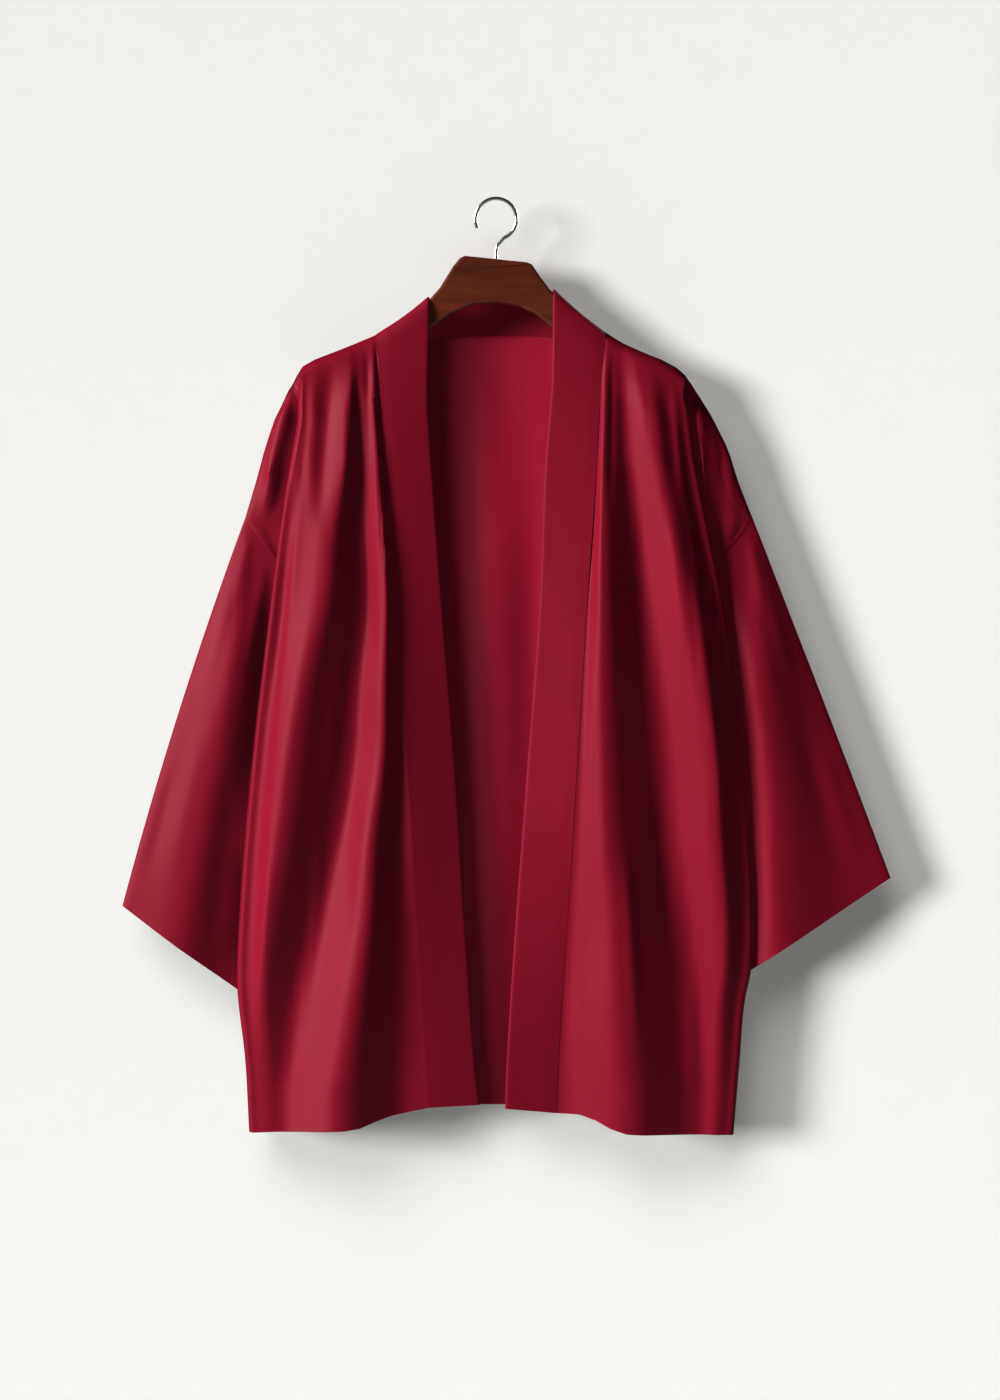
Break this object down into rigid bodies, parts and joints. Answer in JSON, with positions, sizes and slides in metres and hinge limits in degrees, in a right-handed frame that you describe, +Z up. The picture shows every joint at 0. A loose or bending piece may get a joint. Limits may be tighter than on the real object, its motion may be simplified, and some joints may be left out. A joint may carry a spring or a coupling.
{
  "type": "kimono coat on a wooden hanger",
  "caption": "Open-front kimono coat with wide straight sleeves and a long collar band, hanging on a contoured wooden hanger with a steel hook.",
  "frame": {"origin": "the hang point, inside the crown of the hook, where the rail lies", "axes": "+Z up, the fronts face -Y, the wearer's left is +X"},
  "size_m": [0.7695, 0.087, 0.936],
  "materials": {
    "satin": "crimson satin with a soft sheen",
    "wood": "walnut-brown stain under a satin varnish",
    "steel": "bright plated wire"
  },
  "bodies": {
    "root": {"back_panel": "satin", "front_right": "satin", "front_left": "satin", "sleeve_right": "satin", "sleeve_left": "satin", "collar_band": "satin", "hanger_body": "wood", "hanger_hook": "steel"}
  },
  "joints": []
}
